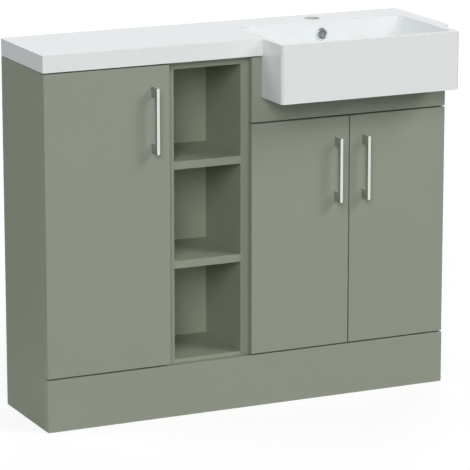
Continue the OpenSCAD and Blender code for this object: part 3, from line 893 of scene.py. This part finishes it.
@dataclass(frozen=True)
class ScrewHead:
    """Domed screw head with a cross recess."""

    radius: float
    height: float
    recess: float
    skirt: float = 0.55  # share of the height that stands upright
    flatness: float = 0.96  # 1 would bring the dome down to the skirt's height
    arm: float = 0.55  # half the cross's length over the radius
    slot: float = 0.14  # half the cross's width over the radius
    lip: float = 0.03  # slope of the recess's walls over the radius
    grid: int = 11

    def in_cross(self, face: Face) -> bool:
        """Tells whether a face of the dome lies in the cross."""
        near, far = sorted(abs(part) for part in face.calc_center_median().xy)
        return near < self.radius * self.slot and far < self.radius * self.arm

    def mesh(self) -> Mesh:
        """Builds the head, standing on the plane z = 0.

        Returns:
            The head's mesh.
        """
        bm = bmesh.new()
        bmesh.ops.create_grid(bm, x_segments=self.grid, y_segments=self.grid, size=1.0)
        for vert in bm.verts:
            x, y = vert.co.xy
            u, v = x * math.sqrt(1 - y * y / 2), y * math.sqrt(1 - x * x / 2)
            dome = math.sqrt(max(0.0, 1 - self.flatness * (u * u + v * v)))
            vert.co = (u * self.radius, v * self.radius, self.height * (self.skirt + (1 - self.skirt) * dome))
        bm.normal_update()
        cross = [f for f in bm.faces if self.in_cross(f)]
        skirt = bmesh.ops.extrude_edge_only(bm, edges=[e for e in bm.edges if e.is_boundary])["geom"]
        for vert in (g for g in skirt if isinstance(g, Vert)):
            vert.co.z = 0.0
        bmesh.ops.holes_fill(bm, edges=[e for e in bm.edges if e.is_boundary], sides=0)
        bmesh.ops.inset_region(
            bm, faces=cross, thickness=self.radius * self.lip, depth=-self.recess,
            use_even_offset=True, use_boundary=True,
        )
        bmesh.ops.recalc_face_normals(bm, faces=bm.faces)
        return bm


@dataclass
class Workshop:
    """Turns finished meshes into named pieces that ride on the right body."""

    wardrobe: Wardrobe
    homes: dict[str, str] = field(init=False)
    slots: dict[str, str] = field(init=False)

    def __post_init__(self) -> None:
        """Reads which body and which slot each CAD node has."""
        record = frame["record"]
        self.homes = {n: body for body, members in record["behaviour"]["bodies"].items() for n in members}
        self.slots = {s["node"]: s["material_slot"] for s in record["subparts"]}

    def publish(
        self, bm: Mesh, name: str, body: str, slot: str, stands_for: Sequence[str] = (), crease: float = 40.0
    ) -> bpy.types.Object:
        """Makes a mesh into a piece of the object.

        Args:
            bm: The finished mesh, which is used up.
            name: The piece's name.
            body: The CAD body that it rides on.
            slot: The record's material slot that it takes its finish from.
            stands_for: CAD nodes that it replaces.
            crease: Angle above which an edge stays sharp, in degrees.

        Returns:
            The piece.
        """
        mesh = stored(bm, name)
        mesh.polygons.foreach_set("use_smooth", [True] * len(mesh.polygons))
        mesh.set_sharp_from_angle(angle=math.radians(crease))
        mesh.materials.append(self.wardrobe.by_slot[slot])
        mesh.polygons.foreach_set("material_index", [0] * len(mesh.polygons))
        piece = add_object(name, mesh)
        piece.modifiers.new("flat faces stay flat", "WEIGHTED_NORMAL").keep_sharp = True
        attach(piece, body)
        if stands_for:
            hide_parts(*stands_for)
        log.info("%s: %d faces on %s in %s", name, len(mesh.polygons), body, slot)
        return piece

    def replace(self, node: str, bm: Mesh, crease: float = 40.0) -> bpy.types.Object:
        """Returns the piece that a mesh, which is used up, becomes in place of a CAD node."""
        return self.publish(bm, f"{node}_dressed", self.homes[node], self.slots[node], (node,), crease)

    def refine(
        self, node: str, width: float, segments: int = 2, board: bool = False, crown: float = 0.0, **limits: object
    ) -> None:
        """Replaces a CAD node by a copy with rounded edges.

        Args:
            node: The CAD node.
            width: Width of the rounding.
            segments: Number of strips across it.
            board: True where cut and banded edges are told apart.
            crown: Width of the chamfer under the top's overhang, if any.
            **limits: What round_edges takes besides.
        """
        bm = merged_copy(node)
        if crown:
            chamfer_crown(bm, crown)
        if board:
            mark_board(bm)
        round_edges(bm, width, segments, **limits)
        self.replace(node, bm, crease=50.0)

    def coat(self, node: str) -> None:
        """Gives a CAD node that stays as it is the finish of its slot.

        Args:
            node: The node's name.
        """
        materials = frame["nodes"][node].data.materials
        materials.clear()
        materials.append(self.wardrobe.by_slot[self.slots[node]])
        log.info("%s: kept, finished as %s", node, self.slots[node])


# ---- Sub-assemblies ----------------------------------------------------------------------------


@dataclass
class SubAssembly:
    """A part of the object that is built as one, in the shop that publishes its pieces."""

    shop: Workshop

    def build(self) -> None:
        """Builds the part's pieces, in a way that each part says for itself."""
        raise NotImplementedError


@dataclass
class Carcass(SubAssembly):
    """One unit's boards, rails and back panel."""

    title: str
    boards: tuple[str, ...]
    panels: tuple[str, ...] = ()
    board_round: float = 0.4 * MM
    panel_round: float = 0.2 * MM
    shortest: float = 6.0 * MM  # shorter edges are the rims of drilled holes
    end_boards: tuple[str, str] = ("cupboard_side_left", "basin_side_right")
    crown_cut: float = 3.6 * MM

    def build(self) -> None:
        """Builds the boards and the panels."""
        for node in self.boards:
            self.shop.refine(
                node, self.board_round, board=True, crown=self.crown_cut if node in self.end_boards else 0.0,
                keep=lambda e: e.calc_length() > self.shortest, least=60.0,
            )
        for node in self.panels:
            self.shop.refine(node, self.panel_round, segments=1)
        log.info("%s: %d boards and %d panels", self.title, len(self.boards), len(self.panels))


@dataclass
class ShelfPins(SubAssembly):
    """Plug-in shelf pins with a collar against the side board."""

    radius: float = 2.5 * MM
    inside: float = 9.0 * MM
    outside: float = 8.0 * MM
    nose: float = 0.6 * MM
    nose_cut: float = 0.5 * MM
    collar_radius: float = 3.6 * MM
    collar: float = 1.2 * MM
    collar_cut: float = 0.3 * MM
    collar_wall: float = 0.7  # share of the collar that stands upright
    steps: int = 20
    sides: tuple[float, float] = (-0.482, -0.217)
    rows: tuple[float, float] = (-0.006, 0.1035)
    heights: tuple[float, float] = (0.33783, 0.56717)

    def pin(self) -> Mesh:
        """Builds one pin that points along +Z from the board's face.

        Returns:
            The pin's mesh.
        """
        r, c = self.radius, self.collar_radius
        profile = [
            (0.0, -self.inside), (r, -self.inside), (r, 0.0), (c, 0.0), (c, self.collar * self.collar_wall),
            (c - self.collar_cut, self.collar), (r, self.collar), (r, self.outside - self.nose),
            (r - self.nose_cut, self.outside), (0.0, self.outside),
        ]
        return lathe(profile, self.steps)

    def build(self) -> None:
        """Builds all the pins as one piece."""
        bm = bmesh.new()
        for x, facing in zip(self.sides, (Facing.RIGHT, Facing.LEFT)):
            for y in self.rows:
                for z in self.heights:
                    put(bm, self.pin(), (x, y, z), facing)
        self.shop.replace("shelf_pins", bm)


@dataclass
class FixedFront(SubAssembly):
    """A lacquered front that doesn't open, and what holds it or keeps it off."""

    front: str
    holder: str
    holder_round: float
    front_round: float = 0.9 * MM

    def build(self) -> None:
        """Builds the front and its holders."""
        self.shop.refine(self.front, self.front_round, segments=3)
        self.shop.refine(self.holder, self.holder_round)


@dataclass
class CastTop(SubAssembly):
    """Worktop and box basin in one casting, with its overflow ring and its bed of sealant."""

    rim_round: float = 1.8 * MM
    foot_round: float = 0.6 * MM
    foot_height: float = 0.818
    hole_round: float = 0.5 * MM
    hole_slack: float = 0.3 * MM  # how far from a hole's radius its wall may lie
    foot_slack: float = 0.1 * MM
    tap_place: tuple[float, float] = (0.256, 0.130)
    tap_radius: float = 17.5 * MM
    waste_place: tuple[float, float] = (0.2525, -0.035)
    waste_radius: float = 22.5 * MM
    ring_place: Point = (0.256, 0.078, 0.827)
    ring_radius: float = 15.0 * MM
    ring_bore: float = 9.5 * MM
    ring_out: float = 4.0 * MM
    ring_foot: float = 0.4 * MM
    ring_ridge: float = 1.5  # 1 makes the section half a circle and 2 makes it a triangle
    ring_steps: int = 96
    nose_step: int = 12  # degrees of the section between two points
    sleeve_radius: float = 11.95 * MM
    sleeve: float = 12.0 * MM
    outlet_depth: float = 9.0 * MM
    outlet_sill: float = 0.86  # how far down the end wall reaches, over the bore's radius
    outlet_wall: float = 1.2 * MM
    outlet_steps: int = 40

    def in_hole(self, point: Vector) -> bool:
        """Tells whether a point lies on the wall of the tap hole or the waste hole."""
        holes = ((self.tap_place, self.tap_radius), (self.waste_place, self.waste_radius))
        return any((point.xy - Vector(middle)).length < radius + self.hole_slack for middle, radius in holes)

    def at_foot(self, edge: Edge) -> bool:
        """Tells whether an edge lies in the plane that the turned-down rim ends in."""
        return all(abs(v.co.z - self.foot_height) < self.foot_slack for v in edge.verts)

    def hole_edges(self, bm: Mesh) -> set[Edge]:
        """Returns the edges on the walls of the two holes."""
        return {e for e in bm.edges if all(self.in_hole(v.co) for v in e.verts)}

    def build_casting(self) -> None:
        """Builds the casting: soft edges all over, but crisp and raw where it was drilled."""
        bm = merged_copy("basin_top")
        set_mark(bm, Mark.CUT, [f for f in bm.faces if abs(f.normal.z) < 0.5 and self.in_hole(f.calc_center_median())])
        drilled = self.hole_edges(bm)
        round_edges(bm, self.rim_round, 3, keep=lambda e: e not in drilled and not self.at_foot(e), least=40.0)
        round_edges(bm, self.foot_round, 2, keep=self.at_foot, least=60.0)
        rims = self.hole_edges(bm)
        round_edges(bm, self.hole_round, 2, keep=lambda e: e in rims, least=60.0)
        self.shop.replace("basin_top", bm, crease=50.0)

    def build_ring(self) -> None:
        """Builds the overflow ring by turning its section."""
        middle = (self.ring_radius + self.ring_bore) / 2
        half = (self.ring_radius - self.ring_bore) / 2
        nose = []
        for step in range(0, 181, self.nose_step):
            across, up = math.cos(math.radians(step)), math.sin(math.radians(step))
            offset = math.copysign(abs(across) ** self.ring_ridge, across)
            height = self.ring_foot + (self.ring_out - self.ring_foot) * up ** self.ring_ridge
            nose.append((middle + half * offset, height))
        profile = [
            (self.ring_bore, -self.sleeve), (self.sleeve_radius, -self.sleeve), (self.sleeve_radius, 0.0),
            (self.ring_radius, 0.0), *nose, (self.ring_bore, -self.sleeve),
        ]
        bm = bmesh.new()
        put(bm, lathe(profile, self.ring_steps), self.ring_place, Facing.FRONT)
        ring = self.shop.replace("overflow_ring", bm, crease=45.0)
        ring.data.materials[0] = self.shop.wardrobe.mirror

    def build_outlet(self) -> None:
        """Builds the end wall inside the overflow, which leaves a way down for the water."""
        bm = bmesh.new()
        start, steps = -math.asin(self.outlet_sill), self.outlet_steps
        angles = [start + (math.pi - 2 * start) * step / steps for step in range(steps + 1)]
        x, y, z = self.ring_place
        r, back = self.ring_bore, y + self.outlet_depth
        rim = [bm.verts.new((x + r * math.cos(a), back, z + r * math.sin(a))) for a in angles]
        made = bmesh.ops.extrude_face_region(bm, geom=[bm.faces.new(rim)])["geom"]
        bmesh.ops.translate(bm, vec=(0.0, self.outlet_wall, 0.0), verts=[g for g in made if isinstance(g, Vert)])
        bmesh.ops.recalc_face_normals(bm, faces=bm.faces)
        self.shop.publish(bm, "overflow_end_wall", "cabinet", "zinc_screw", crease=30.0)

    def build(self) -> None:
        """Builds the casting, the ring and the end wall, and dresses the sealant."""
        self.build_casting()
        self.build_ring()
        self.build_outlet()
        self.shop.coat("top_seal")


@dataclass
class Hinge:
    """One concealed hinge's place: the front outer corner of its side board."""

    corner_x: float
    hand: int
    height: float

    def at(self, x: float, y: float, z: float) -> Point:
        """Returns a place that is given from the corner."""
        return (self.corner_x + self.hand * x, FRONT_Y + y, self.height + z)

    def inward(self) -> Facing:
        """Returns the direction from the side board into the unit."""
        return Facing.RIGHT if self.hand > 0 else Facing.LEFT


@dataclass
class HingeSet(SubAssembly):
    """Mounting plates and arms of every hinge, with their screws."""

    hinges: tuple[Hinge, ...]
    plate_face: float = 20.5 * MM
    arm_face: float = 28.8 * MM
    sheet_round: float = 0.25 * MM
    screw: ScrewHead = ScrewHead(4.0 * MM, 1.8 * MM, 1.1 * MM)
    screw_back: float = 37.0 * MM
    screw_apart: float = 16.0 * MM
    fixing: ScrewHead = ScrewHead(3.4 * MM, 1.1 * MM, 0.7 * MM)
    fixing_back: float = 45.0 * MM
    adjuster: ScrewHead = ScrewHead(2.6 * MM, 0.6 * MM, 0.5 * MM)
    adjuster_back: float = 24.0 * MM

    def build(self) -> None:
        """Builds the plates, the arms and the screws of both."""
        self.shop.refine("hinge_plates", self.sheet_round, least=60.0)
        self.shop.refine("hinge_arms", self.sheet_round, segments=1, least=60.0)
        plates, arms = bmesh.new(), bmesh.new()
        for hinge in self.hinges:
            for side in (-1, 1):
                place = hinge.at(self.plate_face, self.screw_back, side * self.screw_apart)
                put(plates, self.screw.mesh(), place, hinge.inward())
            for head, back in ((self.fixing, self.fixing_back), (self.adjuster, self.adjuster_back)):
                put(arms, head.mesh(), hinge.at(self.arm_face, back, 0.0), hinge.inward())
        self.shop.replace("plate_screws", plates)
        self.shop.publish(arms, "hinge_adjusters", "cabinet", "zinc_screw")


@dataclass
class DoorLeaf(SubAssembly):
    """One door with its handle, hinge cups, links and bumpers, whose places are X and Z."""

    key: str
    hinges: tuple[Hinge, ...]
    handle: tuple[float, float]
    bumpers: tuple[tuple[float, float], ...]
    door_round: float = 0.9 * MM
    shortest: float = 100.0 * MM  # shorter edges are the rims of the bores
    bar_round: float = 0.45 * MM
    cup_round: float = 0.25 * MM
    link_round: float = 0.2 * MM
    screw: ScrewHead = ScrewHead(4.0 * MM, 1.6 * MM, 1.0 * MM)
    screw_apart: float = 64.0 * MM
    shank_radius: float = 2.0 * MM
    shank: float = 30.0 * MM
    shank_cut: tuple[float, float] = (0.5 * MM, 0.6 * MM)
    shank_steps: int = 20
    cup_screw: ScrewHead = ScrewHead(3.5 * MM, 0.7 * MM, 0.45 * MM)
    cup_x: float = 23.3 * MM
    cup_screw_apart: float = 24.0 * MM
    cup_plate: float = -1.2 * MM
    bumper_radius: float = 4.0 * MM
    bumper_height: float = 1.9 * MM
    bumper_wall: float = 0.35  # share of the height that stands upright
    bumper_steps: int = 28

    def build_board(self) -> None:
        """Builds the lacquered board, whose bores keep their sharp rims."""
        self.shop.refine(
            f"{self.key}_door", self.door_round, segments=3, keep=lambda e: e.calc_length() > self.shortest, least=60.0
        )

    def build_handle(self) -> None:
        """Builds the bar handle and the screws behind the door."""
        self.shop.refine(f"{self.key}_handle", self.bar_round, segments=3, least=50.0)
        x, z = self.handle
        r, foot = self.shank_radius, -self.shank
        cut_in, cut_up = self.shank_cut
        profile = [(0.0, foot), (r - cut_in, foot), (r, foot + cut_up), (r, 0.0), (0.0, 0.0)]
        bm = bmesh.new()
        for side in (-1, 1):
            for piece in (self.screw.mesh(), lathe(profile, self.shank_steps)):
                put(bm, piece, (x, DOOR_BACK_Y, z + side * self.screw_apart), Facing.WALL)
        self.shop.replace(f"{self.key}_handle_screws", bm)

    def build_hinge_parts(self) -> None:
        """Builds the cups, their screws and the links."""
        self.shop.refine(f"{self.key}_cups", self.cup_round, segments=1, least=60.0)
        self.shop.refine(f"{self.key}_links", self.link_round, segments=1, least=60.0)
        bm = bmesh.new()
        for hinge in self.hinges:
            for side in (-1, 1):
                place = hinge.at(self.cup_x, self.cup_plate, side * self.cup_screw_apart)
                put(bm, self.cup_screw.mesh(), place, Facing.WALL)
        self.shop.replace(f"{self.key}_cup_screws", bm)

    def build_bumpers(self) -> None:
        """Builds the domed bumpers."""
        r, h, wall = self.bumper_radius, self.bumper_height, self.bumper_wall
        turns = [math.radians(angle) for angle in range(0, 90, 15)]
        arc = [(r * math.cos(a), h * (wall + (1 - wall) * math.sin(a))) for a in turns]
        bm = bmesh.new()
        for x, z in self.bumpers:
            dome = lathe([(0.0, 0.0), (r, 0.0), *arc, (0.0, h)], self.bumper_steps)
            put(bm, dome, (x, DOOR_BACK_Y, z), Facing.WALL)
        self.shop.replace(f"{self.key}_bumpers", bm, crease=60.0)

    def build(self) -> None:
        """Builds everything that turns with this door."""
        self.build_board()
        self.build_handle()
        self.build_hinge_parts()
        self.build_bumpers()


# ---- Studio -------------------------------------------------------------------------------------


@dataclass(frozen=True)
class SoftLight:
    """A broad light that is equally strong everywhere, with its angles in degrees.

    The azimuth counts from the front, positive to the right, and the spread is how wide the light is.
    """

    name: str
    azimuth: float
    elevation: float
    spread: float
    strength: float
    colour: Colour = WHITE

    def hang(self) -> None:
        """Adds the light, which metal and gloss don't mirror."""
        data = bpy.data.lights.new(self.name, "SUN")
        data.angle = math.radians(self.spread)
        data.energy = self.strength
        data.color = self.colour[:3]
        a, e = math.radians(self.azimuth), math.radians(self.elevation)
        back = Vector((math.sin(a) * math.cos(e), -math.cos(a) * math.cos(e), math.sin(e)))
        light = add_object(self.name, data)
        light.rotation_euler = back.to_track_quat("Z", "Y").to_euler()
        light.visible_glossy = False


@dataclass
class Studio:
    """Camera, soft lights, pale floor and white surroundings."""

    eye: Point = (-2.8884, -6.1570, 2.0098)
    pitch: float = 76.601
    yaw: float = -25.105
    lens: float = 233.02
    sensor: float = 36.0
    floor_half: float = 16.0
    flag_way: Point = (0.061, 0.148, 0.987)
    flag_edge: float = 0.68
    flag_core: float = 0.76
    flag_depth: float = 0.97
    lights: tuple[SoftLight, ...] = (
        SoftLight("front left", -30.0, 26.0, 30.0, 1.27),
        SoftLight("low front", -20.0, 12.0, 30.0, 0.40),
        SoftLight("front", 0.0, 30.0, 20.0, 0.05),
        SoftLight("right", 49.0, 37.0, 28.0, 1.19),
        SoftLight("behind right", 150.0, 45.0, 30.0, 0.69, COOL),
        SoftLight("behind left", -120.0, 40.0, 30.0, 0.71, COOL),
    )

    def build_camera(self) -> None:
        """Sets up the camera that the photograph's edges were fitted with."""
        data = bpy.data.cameras.new("camera")
        data.lens, data.sensor_width = self.lens, self.sensor
        data.clip_start, data.clip_end = 0.1, 100.0
        camera = add_object("camera", data)
        camera.location = self.eye
        camera.rotation_euler = (math.radians(self.pitch), 0.0, math.radians(self.yaw))
        bpy.context.scene.camera = camera

    def build_world(self) -> None:
        """Makes surroundings that look white, give no light, and are dark where metal mirrors the flag."""
        world = bpy.data.worlds.new("white_room")
        world.use_nodes = True
        bpy.context.scene.world = world
        w = Wiring(world.node_tree)
        seen, mirrored = w.white_rays()
        way = w.add("TexCoord").outputs["Generated"]
        toward = w.add("VectorMath", {0: way, 1: self.flag_way}, operation="DOT_PRODUCT").outputs["Value"]
        flag = w.spread(toward, self.flag_edge, self.flag_core, 0.0, self.flag_depth)
        background = world.node_tree.nodes["Background"].inputs
        w.feed(background["Color"], WHITE)
        w.feed(background["Strength"], w.math("SUBTRACT", seen, w.math("MULTIPLY", flag, mirrored)))

    def build_floor(self, finish: bpy.types.Material) -> None:
        """Lays the floor.

        Args:
            finish: The floor's material.
        """
        bm = bmesh.new()
        bmesh.ops.create_grid(bm, x_segments=1, y_segments=1, size=self.floor_half)
        floor = add_object("floor", stored(bm, "floor"))
        floor.data.materials.append(finish)

    def build(self, wardrobe: Wardrobe) -> None:
        """Builds the whole studio.

        Args:
            wardrobe: Where the floor's finish is.
        """
        bpy.context.scene.view_settings.view_transform = "Standard"
        self.build_camera()
        self.build_world()
        self.build_floor(wardrobe.floor)
        for light in self.lights:
            light.hang()
        log.info("studio: camera at %s, lens %.1f mm", self.eye, self.lens)


def units(shop: Workshop) -> list[SubAssembly]:
    """Lists the sub-assemblies in the order in which they are built.

    Args:
        shop: Where their pieces are published.

    Returns:
        The sub-assemblies.
    """
    low, mid, high = 0.2145, 0.572, 0.7245
    tall = tuple(Hinge(-0.5, 1, z) for z in (low, high))
    left = tuple(Hinge(0.002, 1, z) for z in (low, mid))
    right = tuple(Hinge(0.5, -1, z) for z in (low, mid))
    return [
        Carcass(
            shop,
            "cupboard",
            ("cupboard_side_left", "cupboard_side_right", "cupboard_bottom", "cupboard_rails", "cupboard_shelves"),
            ("cupboard_back",),
        ),
        ShelfPins(shop),
        Carcass(
            shop,
            "open unit",
            (
                "open_side_left", "open_side_right", "open_top", "open_upper_shelf", "open_lower_shelf",
                "open_bottom", "open_rail",
            ),
            ("open_back",),
        ),
        Carcass(
            shop,
            "basin unit",
            ("basin_side_left", "basin_side_right", "basin_bottom", "basin_front_rail", "basin_rear_rails"),
        ),
        FixedFront(shop, "plinth", "plinth_blocks", 0.6 * MM),
        FixedFront(shop, "fascia", "fascia_pads", 0.3 * MM),
        CastTop(shop),
        HingeSet(shop, tall + left + right),
        DoorLeaf(shop, "tall", tall, handle=(-0.2408, 0.694), bumpers=((-0.2088, 0.8055), (-0.2088, 0.1515))),
        DoorLeaf(shop, "left", left, handle=(0.2155, 0.5415), bumpers=((0.2405, 0.653), (0.1415, 0.653))),
        DoorLeaf(shop, "right", right, handle=(0.2865, 0.5415), bumpers=((0.2615, 0.653), (0.3605, 0.653))),
    ]


def main() -> None:
    """Builds the studio and every sub-assembly."""
    logging.basicConfig(level=logging.INFO, format="%(name)s: %(message)s")
    wardrobe = Wardrobe()
    Studio().build(wardrobe)
    for unit in units(Workshop(wardrobe)):
        unit.build()


if __name__ == "__main__":
    main()
